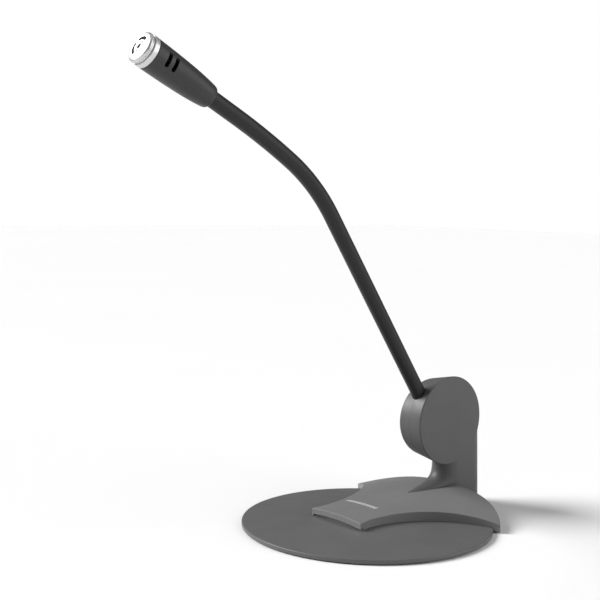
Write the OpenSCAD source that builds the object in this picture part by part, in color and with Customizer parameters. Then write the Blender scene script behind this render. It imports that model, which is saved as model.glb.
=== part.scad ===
// Desktop microphone stand: a round weighted base, a saddle cover, a short
// column with a drum, a flexible neck in seven links, and a slim head.
// Front is -Y, up is +Z, and the origin is the middle of the base on the desk.

/* [Base] */
// Diameter of the round base
base_d = 116; // [106:1:126]
// Height of the base's edge above the desk
rim_z = 2.4; // [2.2:0.1:3]
// Height of the middle of the base above the desk
crest_z = 5; // [4.8:0.1:6]
// Thickness of the base's plastic shell
base_wall = 1.4; // [1.2:0.1:1.5]
// Gap between the desk and the base's underside
foot_h = 0.5; // [0.4:0.1:0.6]
// Thickness of the bottom cover
cover_t = 0.6; // [0.5:0.1:0.7]
// Thickness of the steel ballast plate
ballast_t = 0.8; // [0.6:0.1:0.9]
// Radius of the steel ballast plate
ballast_r = 40; // [32:1:42]

/* [Saddle] */
// Half the width of the front tongue
tongue_hw = 16.2; // [14:0.2:18]
// How far the tongue reaches in front of the middle of the base
tongue_reach = 19.6; // [17:0.2:24]
// Height of the tongue's top at its front edge
tongue_z = 8.8; // [8.4:0.1:10]
// Height of the ridge where the column stands
ridge_z = 12.2; // [11.6:0.1:13]
// Wall of the saddle cover
saddle_wall = 1.8; // [1.5:0.1:2.2]

/* [Column] */
// Thickness of the drum and column, side to side
column_t = 14; // [13:0.2:16]
// Radius of the drum
drum_r = 21.6; // [20.6:0.2:23]
// Height of the drum's middle above the desk
drum_z = 44.8; // [42:0.2:50]
// Wall of the column halves
column_wall = 2; // [1.8:0.1:2.2]

/* [Neck] */
// Outer diameter of the neck's sleeve
neck_d = 7; // [6.6:0.1:7.6]
// Slope of the neck's straight part above the horizontal
neck_slope = 55.2; // [52:0.2:60]
// Length of the neck's straight part
neck_straight = 102; // [90:1:120]
// Diameter of the steel core
core_d = 4.2; // [4:0.1:4.4]
// Most that one link bends against the next
link_swing = 20; // [15:1:20]

/* [Head] */
// Diameter of the head at its front
head_d = 13.6; // [13.2:0.1:15]
// Length of the head's body behind its cap
head_len = 32.3; // [30:0.1:40]
// Length of the silver cap with its ring
cap_len = 5.2; // [5:0.1:6]

/* [Clearances] */
// Gap between pieces that are fixed to each other
fit = 0.05; // [0.03:0.01:0.06]
// Gap round a part that runs in another
run = 0.08; // [0.06:0.01:0.1]

/* [Hidden] */
$fn = 96;

// ---- base ----
base_r = base_d / 2;
dome_r = ((base_r - 0.6) ^ 2 + (crest_z - rim_z) ^ 2) / (2 * (crest_z - rim_z));
rim_wall = base_r * 0.026;
cover_r = base_r - rim_wall - 0.3;
pad_r = base_r - 3;

// ---- saddle ----
skirt_gap = 0.35;
skirt_r = base_r + 3.2;
crown_r = 147;
crown_tilt = atan((ridge_z - tongue_z) / (base_r - 8 + tongue_reach));
shoulder_r = 8.7;
shoulder_z = 4;
side_arc_r = 58.4;
side_arc_x = 73.4;
side_arc_y = -12.8;
lip_t = 2.6;
lip_depth = 1.2;

// ---- screws ----
screw_r = 1.1;
head_r = 2.1;
pilot_r = screw_r + fit;
clear_r = screw_r + 0.2;
boss_r = 3;
outer_screws = [[-30, base_r - 18], [30, base_r - 18]];
tongue_screw = [0, -tongue_reach + 8.6];
foot_screw_y = base_r - 7;
foot_screw_x = 3.6;

// ---- column ----
half_t = column_t / 2;
drum_y = base_r - 9.5;
far_drum_r = drum_r - 2;
rear_y = base_r + 14.3;
rear_low = 1.7;
waist_y = base_r - 11.3;
stem_half = half_t - 0.6;
toe_y = waist_y - 21.9;
column_screw_at = [
    [drum_y - 11.5, drum_z - 6.8], [drum_y + 6.5, drum_z + 14.7], [base_r - 0.5, 24]
];
wall_low = [rear_y - 2 * column_wall, rear_low + column_wall];
wall_top = [drum_y + drum_r - column_wall - 0.4, drum_z];
grommet_z = 9;
grommet_bore = 1.9;

// ---- neck: a straight, then two gentle arcs, then a short straight ----
neck_start = [drum_y - 16.1, drum_z + 14.6];
neck_r = neck_d / 2;
core_r = core_d / 2;
lead_r = 0.7;
lead_bore = 0.9;
ball_r = core_r - 0.2;
arc_len = 34;
arc_turn = [22.5, 5.7];
tip_len = 14.3;
neck_root = -13;
tip_end = 2 * arc_len + neck_straight + tip_len + 8;
first_joint = 16;
joint_at = [
    first_joint,
    first_joint + (neck_straight - first_joint) / 3,
    first_joint + 2 * (neck_straight - first_joint) / 3,
    neck_straight,
    neck_straight + arc_len,
    neck_straight + 2 * arc_len
];
link_gap = neck_r * tan(link_swing / 2) + 0.3;
link_ends = concat([neck_root], joint_at, [tip_end]);

// ---- head ----
head_at = neck_straight + 2 * arc_len + tip_len;
head_r_front = head_d / 2;
head_wall = 1;
tail_r = neck_r + 1.3;
ferrule_r = neck_r + 0.8;
slot_w = 1.9;
slot_half = 28;
slot_at = [23.1, 26.6];
ring_len = 2.3;
cap_r = head_r_front - 0.2;
capsule_r = 4.85;

function unit(a) = [-cos(a), sin(a)];
function bend_side(a) = [-sin(a), -cos(a)];
function arc_r(k) = arc_len * 180 / (PI * arc_turn[k]);
function arc_point(p, a, k, s) =
    p + arc_r(k) * bend_side(a) - arc_r(k) * bend_side(a - arc_turn[k] * s / arc_len);
slope_1 = neck_slope - arc_turn[0];
slope_2 = slope_1 - arc_turn[1];
point_1 = neck_start + neck_straight * unit(neck_slope);
point_2 = arc_point(point_1, neck_slope, 0, arc_len);
point_3 = arc_point(point_2, slope_1, 1, arc_len);
function neck_point(s) =
    s <= neck_straight ? neck_start + s * unit(neck_slope)
    : s <= neck_straight + arc_len ? arc_point(point_1, neck_slope, 0, s - neck_straight)
    : s <= neck_straight + 2 * arc_len ? arc_point(point_2, slope_1, 1, s - neck_straight - arc_len)
    : point_3 + (s - neck_straight - 2 * arc_len) * unit(slope_2);
function neck_angle(s) =
    s <= neck_straight ? neck_slope
    : s <= neck_straight + arc_len ? neck_slope - arc_turn[0] * (s - neck_straight) / arc_len
    : s <= neck_straight + 2 * arc_len ? slope_1 - arc_turn[1] * (s - neck_straight - arc_len) / arc_len
    : slope_2;

// Places its children at a distance along the neck, with Z along the neck
module at_neck(s) {
    translate([0, neck_point(s)[0], neck_point(s)[1]])
        rotate([90 - neck_angle(s), 0, 0]) children();
}

// Places its children at a distance in front of the head's rear end
module at_head(a) {
    at_neck(head_at) translate([0, 0, a]) children();
}

// Turns a flat outline in Y and Z into a slab from x0 to x1
module slab(x0, x1) {
    translate([x0, 0, 0]) rotate([90, 0, 90]) linear_extrude(x1 - x0) children();
}

module tube(r_out, r_in, h) {
    difference() {
        cylinder(r = r_out, h = h);
        translate([0, 0, -1]) cylinder(r = r_in, h = h + 2);
    }
}

// A round bar or tube along link i, from s0 to s1 along the neck
module link_bar(i, s0, s1, r_out, r_in) {
    if (i == 4 || i == 5) {
        k = i - 4;
        turn = arc_turn[k] / arc_len;
        at_neck(joint_at[i - 1]) translate([0, -arc_r(k), 0]) rotate([90, 0, 90])
            rotate([0, 0, (s0 - joint_at[i - 1]) * turn])
            rotate_extrude(angle = (s1 - s0) * turn, $fn = 360)
            translate([arc_r(k), 0]) ring(r_out, r_in);
    } else {
        at_neck(link_ends[i]) translate([0, 0, s0 - link_ends[i]])
            linear_extrude(s1 - s0) ring(r_out, r_in);
    }
}

module ring(r_out, r_in) {
    difference() {
        circle(r_out);
        if (r_in > 0) circle(r_in);
    }
}

// ---- base ----

// Everything under the base's domed top, out to radius r and down by drop
module dome(r, drop, z0) {
    intersection() {
        translate([0, 0, z0]) cylinder(r = r, h = crest_z + 2);
        translate([0, 0, crest_z - dome_r]) sphere(r = dome_r - drop, $fn = 200);
    }
}

module base_screw_cuts(r, z0) {
    for (p = outer_screws) translate([p[0], p[1], z0]) cylinder(r = r, h = 12);
    for (x = [-foot_screw_x, foot_screw_x])
        translate([x, foot_screw_y, z0]) cylinder(r = r, h = 12);
}

module base_shell() {
    color("dimgray") difference() {
        intersection() {
            dome(base_r, 0, foot_h);
            rotate_extrude() polygon([
                [0, foot_h], [base_r, foot_h], [base_r, rim_z - 0.5],
                [base_r - 0.5, rim_z], [base_r - 0.6, crest_z + 1], [0, crest_z + 1]
            ]);
        }
        dome(base_r - rim_wall, base_wall, 0);
        base_screw_cuts(clear_r, 0);
        translate([tongue_screw[0], tongue_screw[1], 0]) cylinder(r = clear_r, h = 12);
    }
}

module ballast_plate() {
    color("silver") translate([0, 0, foot_h + cover_t + fit]) cylinder(r = ballast_r, h = ballast_t);
}

module bottom_cover() {
    color("black") difference() {
        translate([0, 0, foot_h]) cylinder(r = cover_r, h = cover_t);
        base_screw_cuts(head_r + 0.4, 0);
    }
}

// Foam pad that the stand rests on
module foot_pad() {
    color("black") difference() {
        cylinder(r = pad_r, h = foot_h);
        base_screw_cuts(head_r + 0.9, -1);
    }
}

// ---- saddle ----

// The saddle's outline from above, with every edge moved in by inset
module saddle_plan(inset) {
    polygon([
        [-tongue_hw + inset, inset - tongue_reach],
        [tongue_hw - inset, inset - tongue_reach],
        [side_arc_x - side_arc_r - inset, side_arc_y],
        [-side_arc_x + side_arc_r + inset, side_arc_y]
    ]);
    difference() {
        translate([-skirt_r, side_arc_y]) square([2 * skirt_r, skirt_r - side_arc_y]);
        for (m = [-1, 1]) translate([m * side_arc_x, side_arc_y])
            circle(side_arc_r + inset, $fn = 200);
    }
}

// The solid space under the saddle's crowned top, inset from every face
module saddle_block(inset) {
    intersection() {
        translate([0, 0, foot_h]) linear_extrude(ridge_z + 4) saddle_plan(inset);
        translate([0, -tongue_reach, tongue_z - crown_r]) rotate([crown_tilt - 90, 0, 0])
            translate([0, 0, -20]) cylinder(r = crown_r - inset, h = 140, $fn = 200);
        saddle_turn(inset);
    }
}

// The round limit of the saddle, with its rolled rear shoulder
module saddle_turn(inset) {
    rotate_extrude($fn = 200) difference() {
        union() {
            translate([0, foot_h]) square([skirt_r - inset, shoulder_z - foot_h]);
            translate([skirt_r - shoulder_r, shoulder_z]) circle(shoulder_r - inset);
            square([skirt_r - shoulder_r, shoulder_z + shoulder_r - inset]);
        }
        translate([-40, -40]) square([200, 40 + foot_h]);
        translate([-40, -1]) square([40, 40]);
    }
}

module saddle_posts() {
    for (p = outer_screws) translate([p[0], p[1], 0]) cylinder(r = boss_r, h = 12);
    for (x = [-foot_screw_x, foot_screw_x])
        translate([x, foot_screw_y, 0]) cylinder(r = boss_r, h = 20);
    translate([tongue_screw[0], tongue_screw[1], 0]) cylinder(r = boss_r, h = 12);
}

module saddle_cover() {
    color("gray") difference() {
        saddle_block(0);
        // hollow, with the screw posts left standing
        difference() {
            saddle_block(saddle_wall);
            saddle_posts();
        }
        // seat over the base
        dome(base_r + skirt_gap, -fit, -1);
        // shadow gap under the front lip
        translate([-tongue_hw - 1, -tongue_reach - 1, 0])
            cube([2 * tongue_hw + 2, 1 + lip_depth, tongue_z - lip_t]);
        for (p = outer_screws) translate([p[0], p[1], 0]) cylinder(r = pilot_r, h = 7);
        translate([tongue_screw[0], tongue_screw[1], 0]) cylinder(r = pilot_r, h = 7.4);
        for (x = [-foot_screw_x, foot_screw_x])
            translate([x, foot_screw_y, 0]) cylinder(r = clear_r, h = 20);
    }
}

module screw_up(z_head, head_h, length) {
    translate([0, 0, z_head]) cylinder(r = head_r, h = head_h);
    translate([0, 0, z_head]) cylinder(r = screw_r, h = length);
}

// Height just under the shell's inner face, clear of its slope across a screw's head
function under_shell(p) =
    crest_z - dome_r + sqrt((dome_r - base_wall) ^ 2 - (norm(p) + head_r) ^ 2) - 0.05;

module saddle_screws() {
    color("silver") {
        for (p = outer_screws)
            translate([p[0], p[1], 0]) screw_up(under_shell(p) - 0.8, 0.8, 5.6);
        translate([tongue_screw[0], tongue_screw[1], 0])
            screw_up(under_shell(tongue_screw) - 0.9, 0.9, 4.6);
    }
}

module foot_screws() {
    p = [foot_screw_x, foot_screw_y];
    color("silver") for (x = [-foot_screw_x, foot_screw_x])
        translate([x, foot_screw_y, 0]) screw_up(under_shell(p) - 0.8, 0.8, 16);
}

// ---- column ----

// The stem's outline from the side
module stem_outline() {
    polygon([
        [rear_y, rear_low], [drum_y + drum_r, drum_z], [drum_y, drum_z],
        [waist_y - 12, drum_z - 14], [waist_y - 8.5, 27.8], [waist_y - 3.4, 24.8],
        [waist_y - 1.2, 22.7], [waist_y, 19], [waist_y, rear_low]
    ]);
}

// The pointed toe in front of the stem, from the side
module toe_outline() {
    polygon([
        [toe_y, 9], [toe_y, 11], [toe_y + 3.9, 11.5], [toe_y + 9.4, 12.2],
        [toe_y + 14.3, 13], [waist_y - 3.7, 14.4], [waist_y - 1.3, 16.2],
        [waist_y - 0.1, 18.6], [waist_y + 0.9, 22], [waist_y + 7.3, 22], [waist_y + 7.3, 9]
    ]);
}

// The stem's outline from above: flat sides with a round front
module stem_plan(h) {
    translate([0, waist_y + h]) circle(h);
    translate([-h, waist_y + h]) square([2 * h, rear_y - waist_y - h + 1]);
}

// The toe's outline from above
module toe_plan() {
    polygon([
        [-0.5, toe_y], [0.5, toe_y], [2.6, toe_y + 7.2], [4.6, toe_y + 15.2],
        [stem_half, waist_y + 6], [-stem_half, waist_y + 6],
        [-4.6, toe_y + 15.2], [-2.6, toe_y + 7.2]
    ]);
}

// The drum's outline on the far side: smaller, and flush with the drum front and rear
module far_drum(r) {
    rear_shift = 2 * (drum_r - far_drum_r);
    translate([drum_y - drum_r + far_drum_r, drum_z]) {
        circle(r, $fn = 160);
        translate([rear_shift, 0]) circle(r, $fn = 160);
        translate([0, -r]) square([rear_shift, 2 * r]);
    }
}

// The whole column as one block, before it is hollowed and split
module column_block() {
    slab(0, half_t) translate([drum_y, drum_z]) circle(drum_r, $fn = 160);
    slab(-half_t, 0) far_drum(far_drum_r);
    intersection() {
        slab(-half_t, half_t) stem_outline();
        linear_extrude(drum_z + 2) stem_plan(stem_half);
    }
    intersection() {
        slab(-half_t, half_t) toe_outline();
        linear_extrude(30) toe_plan();
    }
}

module column_hollow() {
    hollow_t = half_t - column_wall;
    slab(0, hollow_t) translate([drum_y, drum_z]) circle(drum_r - column_wall);
    slab(-hollow_t, 0) far_drum(far_drum_r - column_wall);
    intersection() {
        slab(-stem_half + column_wall, stem_half - column_wall) polygon([
            wall_low, wall_top,
            [waist_y + 6, drum_z], [waist_y + 6, 22],
            [skirt_r + column_wall + 1, 22], [skirt_r + column_wall + 1, rear_low + column_wall]
        ]);
        translate([0, 0, -1]) linear_extrude(drum_z + 2) stem_plan(stem_half - column_wall + 0.5);
    }
}

module column_bosses(x0, x1) {
    intersection() {
        for (p = column_screw_at)
            translate([x0, p[0], p[1]]) rotate([0, 90, 0]) cylinder(r = boss_r, h = x1 - x0);
        column_block();
    }
}

// Cuts that both halves share: the saddle below, the neck's hole and clamp, the cable hole
module column_cuts() {
    translate([0, 0, fit]) saddle_block(-0.02);
    translate([0, 0, -0.1]) cylinder(r = skirt_r + 0.3, h = shoulder_z);
    at_neck(neck_root - 1) cylinder(r = neck_r + fit, h = 40);
    translate([0, rear_y - 6, grommet_z]) rotate([-90, 0, 0]) cylinder(r = 2.4 + fit, h = 10);
    for (x = [-foot_screw_x, foot_screw_x])
        translate([x, foot_screw_y, 4]) cylinder(r = pilot_r, h = 14);
    at_neck(neck_root - 0.3) cylinder(r = 5 + fit, h = 8.6);
}

module column_right() {
    color("gray") difference() {
        intersection() {
            column_block();
            slab(fit / 2, half_t + 1) square([rear_y + 1, drum_z + drum_r + 1]);
        }
        difference() {
            column_hollow();
            column_bosses(0, half_t);
        }
        column_cuts();
        for (p = column_screw_at)
            translate([-1, p[0], p[1]]) rotate([0, 90, 0]) cylinder(r = pilot_r, h = 5);
    }
}

module column_left() {
    color("gray") difference() {
        intersection() {
            column_block();
            slab(-half_t - 1, -fit / 2) square([rear_y + 1, drum_z + drum_r + 1]);
        }
        difference() {
            column_hollow();
            column_bosses(-half_t, 0);
        }
        column_cuts();
        for (p = column_screw_at) translate([-half_t - 1, p[0], p[1]]) rotate([0, 90, 0]) {
            cylinder(r = clear_r, h = 20);
            cylinder(r = head_r + 0.2, h = 3.6);
        }
    }
}

module column_screws() {
    color("silver") for (p = column_screw_at) translate([0, p[0], p[1]]) rotate([0, 90, 0]) {
        translate([0, 0, -half_t + 2.6 - 1.4]) cylinder(r = head_r, h = 1.4);
        translate([0, 0, -half_t + 2.6]) cylinder(r = screw_r, h = half_t - 2.6 + 3.4);
    }
}

// Collar that grips the foot of the neck between the two halves
module neck_clamp() {
    color("silver") at_neck(neck_root) tube(5, neck_r + fit, 8);
}

module cable_grommet() {
    color("black") translate([0, rear_y, grommet_z]) rotate([90, 0, 0]) difference() {
        union() {
            translate([0, 0, -0.9]) cylinder(r = 3.4, h = 0.8);
            translate([0, 0, -0.5]) cylinder(r = 2.4, h = 3.6);
        }
        translate([0, 0, -2]) cylinder(r = grommet_bore, h = 8);
    }
}

// A point at height z inside the column, a gap in front of its rear wall
function beside_rear(z, gap) =
    [lookup(z, [[wall_low[1], wall_low[0]], [wall_top[1], wall_top[0]]]) - gap, z];

// Lead inside the column, from the foot of the neck to the grommet
module inner_lead() {
    path = [
        neck_point(neck_root - 0.5), [drum_y + 3.5, drum_z - 2.8], beside_rear(36, 3.8),
        beside_rear(30, 1.6), beside_rear(grommet_z, 1.9), [rear_y + 0.4, grommet_z]
    ];
    inner_r = lead_r + 0.4;
    color("black") for (i = [0 : len(path) - 2]) {
        d = path[i + 1] - path[i];
        translate([0, path[i][0], path[i][1]]) {
            rotate([atan2(-d[0], d[1]), 0, 0]) cylinder(r = inner_r, h = norm(d));
            if (i > 0) sphere(r = inner_r + 0.15);
        }
    }
}

// ---- neck ----

// A link's steel core: a cup below, a ball above, and a bore for the lead
module core(i) {
    s0 = link_ends[i] + (i == 0 ? 0 : 0.5);
    s1 = link_ends[i + 1] - (i == 6 ? 0 : 1);
    color("silver") if (i == 4 || i == 5) {
        difference() {
            union() {
                link_bar(i, s0, s1, core_r, 0);
                at_neck(link_ends[i + 1]) sphere(r = ball_r);
            }
            at_neck(link_ends[i]) sphere(r = ball_r + run);
            link_bar(i, s0 - 1, s1 + 4, lead_bore, 0);
        }
    } else {
        at_neck(link_ends[i]) rotate_extrude() core_side(i, s0 - link_ends[i], s1 - link_ends[i]);
    }
}

// Half of a straight core's section, from z0 to z1
module core_side(i, z0, z1) {
    difference() {
        union() {
            translate([0, z0]) square([core_r, z1 - z0]);
            if (i < 6) translate([0, link_ends[i + 1] - link_ends[i]]) circle(ball_r);
        }
        if (i > 0) circle(ball_r + run);
        translate([lead_bore - 10, -10]) square([10, z1 + 20]);
    }
}

// A link's soft sleeve
module sleeve(i) {
    s0 = link_ends[i] + (i == 0 ? 0 : link_gap);
    s1 = link_ends[i + 1] - (i == 6 ? 0 : link_gap);
    color("dimgray") link_bar(i, s0, s1, neck_r, core_r + fit);
}

// A link's length of the lead
module lead(i) {
    s0 = link_ends[i] + (i == 0 ? 0.2 : 2.3);
    s1 = link_ends[i + 1] + (i == 6 ? -0.5 : 1);
    color("black") link_bar(i, s0, s1, lead_r, 0);
}

module core_0() { core(0); }
module core_1() { core(1); }
module core_2() { core(2); }
module core_3() { core(3); }
module core_4() { core(4); }
module core_5() { core(5); }
module core_6() { core(6); }
module sleeve_0() { sleeve(0); }
module sleeve_1() { sleeve(1); }
module sleeve_2() { sleeve(2); }
module sleeve_3() { sleeve(3); }
module sleeve_4() { sleeve(4); }
module sleeve_5() { sleeve(5); }
module sleeve_6() { sleeve(6); }
module lead_0() { lead(0); }
module lead_1() { lead(1); }
module lead_2() { lead(2); }
module lead_3() { lead(3); }
module lead_4() { lead(4); }
module lead_5() { lead(5); }
module lead_6() { lead(6); }

// ---- head ----

module head_body() {
    color("dimgray") at_head(0) difference() {
        rotate_extrude() polygon([
            [neck_r + fit, 0], [tail_r - 0.7, 0], [tail_r, 0.8], [head_r_front - 0.75, 12],
            [head_r_front - 0.2, 22], [head_r_front, head_len],
            [head_r_front - head_wall, head_len], [head_r_front - head_wall - 0.2, 21],
            [head_r_front - head_wall - 0.8, 12], [ferrule_r, 9.5], [neck_r + fit, 9.5]
        ]);
        for (z = slot_at) for (m = [0, 180]) rotate([0, 0, m - slot_half])
            translate([0, 0, z - slot_w / 2]) rotate_extrude(angle = 2 * slot_half)
            translate([4.6, 0]) square([4, slot_w]);
    }
}

// Crimped sleeve on the end of the neck, inside the head
module head_ferrule() {
    color("silver") at_head(9.5 + fit) difference() {
        cylinder(r = ferrule_r, h = 1.5);
        translate([0, 0, -1]) cylinder(r = lead_bore + 0.2, h = 4);
    }
}

module cap_ring() {
    color("silver") at_head(head_len + fit) tube(head_r_front, head_r_front - 1.1, ring_len);
}

module front_cap() {
    cap_h = cap_len - ring_len - 0.3;
    color("silver") at_head(head_len + ring_len + 2 * fit) difference() {
        union() {
            rotate_extrude() polygon([
                [0, cap_h - 0.9], [cap_r - 1, cap_h - 0.9], [cap_r - 1, 0], [cap_r, 0],
                [cap_r, cap_h - 1], [cap_r - 0.3, cap_h - 0.4], [cap_r - 0.9, cap_h],
                [0, cap_h + 0.2]
            ]);
            cylinder(r = 2, h = cap_h + 0.3);
            translate([0, 0, -2]) tube(cap_r - 1, cap_r - 1.7, 2.2);
        }
        translate([0, 0, -3]) cylinder(r = 1, h = 10);
        translate([0, 0, -3]) cylinder(r = 2, h = 3 + cap_h - 0.9);
        for (a = [65, 150]) rotate([0, 0, a - 2])
            rotate_extrude(angle = a == 65 ? 70 : 85) translate([2.7, 0]) square([1.7, 8]);
    }
}

module dust_disc() {
    cap_h = cap_len - ring_len - 0.3;
    color("black") at_head(head_len + ring_len + 2 * fit + cap_h - 1.7 - fit)
        cylinder(r = 4.6, h = 0.8);
}

module capsule() {
    color("silver") at_head(head_len - 3.6) cylinder(r = capsule_r, h = 4.4);
}

module capsule_boot() {
    color("black") at_head(head_len - 4.4) difference() {
        cylinder(r = head_r_front - head_wall - 0.2, h = 4.4);
        translate([0, 0, 0.8 - fit]) cylinder(r = capsule_r + fit, h = 8);
        for (x = [-1.3, 1.3]) translate([x, 0, -1]) cylinder(r = 0.5, h = 3);
    }
}

// The two solder pins and their short leads behind the capsule
module capsule_pins() {
    color("gold") for (x = [-1.3, 1.3])
        at_head(head_len - 3.6 - 2.4) translate([x, 0, 0]) cylinder(r = 0.4, h = 2.4);
}

base_shell();
ballast_plate();
bottom_cover();
foot_pad();
saddle_cover();
saddle_screws();
column_right();
column_left();
column_screws();
foot_screws();
neck_clamp();
cable_grommet();
inner_lead();
core_0();
core_1();
core_2();
core_3();
core_4();
core_5();
core_6();
sleeve_0();
sleeve_1();
sleeve_2();
sleeve_3();
sleeve_4();
sleeve_5();
sleeve_6();
lead_0();
lead_1();
lead_2();
lead_3();
lead_4();
lead_5();
lead_6();
head_body();
head_ferrule();
cap_ring();
front_cap();
dust_disc();
capsule();
capsule_boot();
capsule_pins();
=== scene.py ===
import math

import bmesh
import bpy
from mathutils import Matrix, Vector


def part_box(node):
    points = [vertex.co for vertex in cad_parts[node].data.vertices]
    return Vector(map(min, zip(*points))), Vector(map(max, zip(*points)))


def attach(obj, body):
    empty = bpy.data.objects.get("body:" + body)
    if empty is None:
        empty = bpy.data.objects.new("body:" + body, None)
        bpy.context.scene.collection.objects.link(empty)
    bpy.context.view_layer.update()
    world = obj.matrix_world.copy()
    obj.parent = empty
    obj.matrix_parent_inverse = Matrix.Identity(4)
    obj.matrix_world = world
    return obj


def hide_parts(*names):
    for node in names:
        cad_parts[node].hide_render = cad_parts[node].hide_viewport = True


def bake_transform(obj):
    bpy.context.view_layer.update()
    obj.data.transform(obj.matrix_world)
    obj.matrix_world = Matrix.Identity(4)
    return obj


bl_info = {
    "name": "Desktop microphone stand",
    "version": (1, 0, 0),
    "blender": (4, 5, 0),
    "location": "View3D > Sidebar > Mic stand",
    "description": "Models the stand's visible pieces and finishes round its packed frame",
    "category": "Object",
}

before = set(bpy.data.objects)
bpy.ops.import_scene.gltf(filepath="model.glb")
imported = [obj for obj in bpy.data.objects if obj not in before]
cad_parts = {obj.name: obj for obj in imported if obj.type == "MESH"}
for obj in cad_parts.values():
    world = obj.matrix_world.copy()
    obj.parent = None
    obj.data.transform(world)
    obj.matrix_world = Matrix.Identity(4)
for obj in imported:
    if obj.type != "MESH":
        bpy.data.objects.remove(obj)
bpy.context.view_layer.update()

MM = 0.001
TURN = 2 * math.pi

# ---- sizes that follow the frame, in metres ----
BASE_LOW, BASE_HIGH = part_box("base_shell")
BASE_R = BASE_HIGH.x
CREST_Z = BASE_HIGH.z
RIM_Z = 2.4 * MM
FOOT_H = BASE_LOW.z
BASE_WALL = 1.4 * MM
RIM_WALL = 1.5 * MM
FOOT_EDGE = 0.25 * MM
DOME_R = ((BASE_R - 0.6 * MM) ** 2 + (CREST_Z - RIM_Z) ** 2) / (2 * (CREST_Z - RIM_Z))

SADDLE_LOW, SADDLE_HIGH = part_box("saddle_cover")
SKIRT_R = SADDLE_HIGH.y
TONGUE_Y = SADDLE_LOW.y
TONGUE_HALF = 16.2 * MM
TONGUE_Z = 8.8 * MM
CROWN_R = 147 * MM
CROWN_RISE = (12.2 - 8.8) / 69.6
SHOULDER_R = 8.7 * MM
SHOULDER_Z = 4 * MM
SIDE_ARC_R = 58.4 * MM
SIDE_ARC_X = 73.4 * MM
SIDE_ARC_Y = -12.8 * MM
LIP_T = 2.6 * MM
LIP_DEPTH = 1.2 * MM
SADDLE_WALL = 0.8 * MM
SADDLE_GAP = 0.06 * MM
MARK_START = -12.6 * MM
MARK_PITCH = 1.95 * MM
MARK_BAR = 1.15 * MM
MARK_COUNT = 10
MARK_Y = -1.6 * MM
MARK_H = 2.1 * MM
MARK_LEAN = 0.8 * MM

COLUMN_LOW, COLUMN_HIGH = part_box("column_right")
HALF_T = COLUMN_HIGH.x
TOE_Y = COLUMN_LOW.y
DRUM_R = 21.6 * MM
DRUM_Z = COLUMN_HIGH.z - DRUM_R
DRUM_Y = 48.5 * MM
REAR_Y = COLUMN_HIGH.y
REAR_LOW = COLUMN_LOW.z
WAIST_Y = 46.7 * MM
GROMMET_Z = 9 * MM
EXIT_R = 2.45 * MM
STEM_LOW = 11 * MM
SWEEP = 1.95 * MM
HALVES_GAP = 0.03 * MM
WELL_R = 2.3 * MM
WELL_DEPTH = 3.6 * MM
SCREW_SINK = 1.25 * MM
SCREW_PLACES = [(37 * MM, 38 * MM), (55 * MM, 59.5 * MM), (57.5 * MM, 24 * MM)]

NECK_R = 3.5 * MM
CORE_R = 2.1 * MM
NECK_START = (32.4 * MM, 59.4 * MM)
NECK_SLOPE = math.radians(55.2)
NECK_STRAIGHT = 102 * MM
ARC_LEN = 34 * MM
ARC_TURNS = (math.radians(22.5), math.radians(5.7))
NECK_ROOT = -13 * MM
HEAD_AT = NECK_STRAIGHT + 2 * ARC_LEN + 14.3 * MM
JOINTS_AT = [16 * MM, 44.6667 * MM, 73.3333 * MM, 102 * MM, 136 * MM, 170 * MM]

HEAD_R = 6.8 * MM
HEAD_LEN = 32.3 * MM
TAIL_R = 4.8 * MM
SLOTS_AT = (23.1 * MM, 26.6 * MM)
VENT_LEN = 6.6 * MM
VENT_W = 1.8 * MM
CAP_R = 6.6 * MM
CAP_LOW = HEAD_LEN + 2.4 * MM
CAP_TOP = CAP_LOW + 2.38 * MM
CAP_EDGE = 1.25 * MM
CAP_FACE_T = 0.16 * MM
RING_LOW = HEAD_LEN + 0.06 * MM
RING_HIGH = HEAD_LEN + 2.3 * MM
CAP_SLOT_R = 3.6 * MM
CAP_SLOT_W = 1.5 * MM
CAP_SLOT_TURNS = ((45, 130), (152, 240))


# ---- the stage ----
CAMERA_PLACE = (0.36795, -0.36158, 0.15212)
CAMERA_TURN = (84.719, -1.016, 49.234)
CAMERA_LENS = 68.0
# each light's name, where it shines from, its spread in degrees and its strength
LIGHTS = (
    ("key_light", (-0.68, -0.62, 0.66), 34, 4.2),
    ("top_light", (0.0, 0.35, 1.0), 60, 0.3),
    ("fill_light", (1.0, 0.70, 0.40), 60, 1.55),
)
SKY_STRENGTH = 0.15


# ---- settings a user would change ----
class StandSizes(bpy.types.PropertyGroup):
    """Edge roundings and small details, in metres"""

    base_edge: bpy.props.FloatProperty(
        name="Base edge", description="Rounding of the base's rim", default=0.5 * MM,
        min=0.1 * MM, max=0.9 * MM, unit="LENGTH", precision=5)
    saddle_edge: bpy.props.FloatProperty(
        name="Saddle edge", description="Rounding of the saddle's upper edges",
        default=0.55 * MM, min=0.1 * MM, max=1 * MM, unit="LENGTH", precision=5)
    drum_near_edge: bpy.props.FloatProperty(
        name="Drum right edge", description="Rounding of the drum's right face",
        default=0.55 * MM, min=0.1 * MM, max=1.5 * MM, unit="LENGTH", precision=5)
    drum_far_edge: bpy.props.FloatProperty(
        name="Drum left edge", description="Rounding of the drum's left face",
        default=1.3 * MM, min=0.1 * MM, max=2 * MM, unit="LENGTH", precision=5)
    drum_taper: bpy.props.FloatProperty(
        name="Drum taper", description="Height of the drum's left face against its right one",
        default=0.87, min=0.8, max=1, subtype="FACTOR")
    neck_give: bpy.props.FloatProperty(
        name="Neck give", description="Length of neck that bends either side of a joint",
        default=12.5 * MM, min=6 * MM, max=13.5 * MM, unit="LENGTH", precision=5)
    mark_raise: bpy.props.FloatProperty(
        name="Mark height", description="How far the printed mark stands off the saddle",
        default=0.03 * MM, min=0.01 * MM, max=0.1 * MM, unit="LENGTH", precision=5)


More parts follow.
